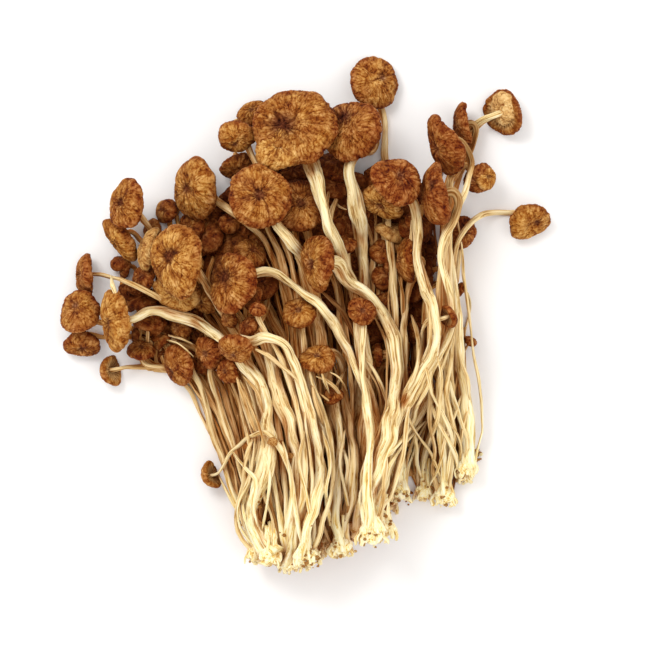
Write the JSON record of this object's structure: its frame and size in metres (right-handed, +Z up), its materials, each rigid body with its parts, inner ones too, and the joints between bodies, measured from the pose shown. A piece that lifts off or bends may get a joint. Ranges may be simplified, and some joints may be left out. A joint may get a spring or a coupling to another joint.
{
  "type": "dried tea tree mushroom cluster",
  "caption": "Dried tea tree mushrooms lying as one cluster: wrinkled brown caps on long cream stems that run together at the foot.",
  "frame": {"origin": "centre of the bounding box in X and Y, at its lowest Z, on the surface that the cluster lies on", "axes": "+Z up from the surface, +Y along the cluster from the feet to the heads, +X to the right seen from above"},
  "size_m": [0.178, 0.1861, 0.0419],
  "materials": {
    "cap": "dry, finely wrinkled, golden to red-brown",
    "stem": "dry, grooved lengthwise, cream with brown streaks"
  },
  "bodies": {
    "root": {"cap_top": "cap", "cap_behind_crown": "cap", "cap_low_left": "cap", "cap_gills_left": "cap", "cap_dark_left": "cap", "cap_edge_left": "cap", "cap_far_left_1": "cap", "cap_far_left_2": "cap", "cap_tan_edge": "cap", "cap_big_left": "cap", "cap_outer_left": "cap", "cap_left_low": "cap", "cap_left_red": "cap", "cap_upper_left": "cap", "cap_knob_3": "cap", "cap_knob_1": "cap", "cap_knob_2": "cap", "cap_right_dark": "cap", "cap_far_right": "cap", "cap_crown_back": "cap", "cap_crown_front": "cap", "cap_gills_right": "cap", "cap_spindle": "cap", "cap_split": "cap", "cap_finger": "cap", "cap_twin_back": "cap", "cap_right_tall": "cap", "cap_crown_dark": "cap", "cap_crown_big": "cap", "cap_middle_low": "cap", "cap_twin_front": "cap", "cap_edge_middle": "cap", "cap_crown_right": "cap", "cap_middle": "cap", "cap_red_disc": "cap", "cap_left_gold": "cap", "cap_gills_low": "cap", "cap_hook": "cap", "stems_bed_right": "stem", "stems_bed_left": "stem", "stems_bed_middle": "stem", "stems_left": "stem", "stems_bed_centre": "stem", "stems_upper_left": "stem", "stems_lower_left": "stem", "stems_crown_left": "stem", "stems_right_outer": "stem", "stems_right_web": "stem", "stems_crown": "stem", "stem_right_tall": "stem", "stems_right_back": "stem", "stems_middle_left": "stem", "stems_right_inner": "stem", "stems_tall": "stem", "stems_lower_middle": "stem", "stem_arched": "stem", "stems_right_middle": "stem", "stems_bent": "stem", "stem_sweeping": "stem", "stems_front": "stem"}
  },
  "joints": []
}
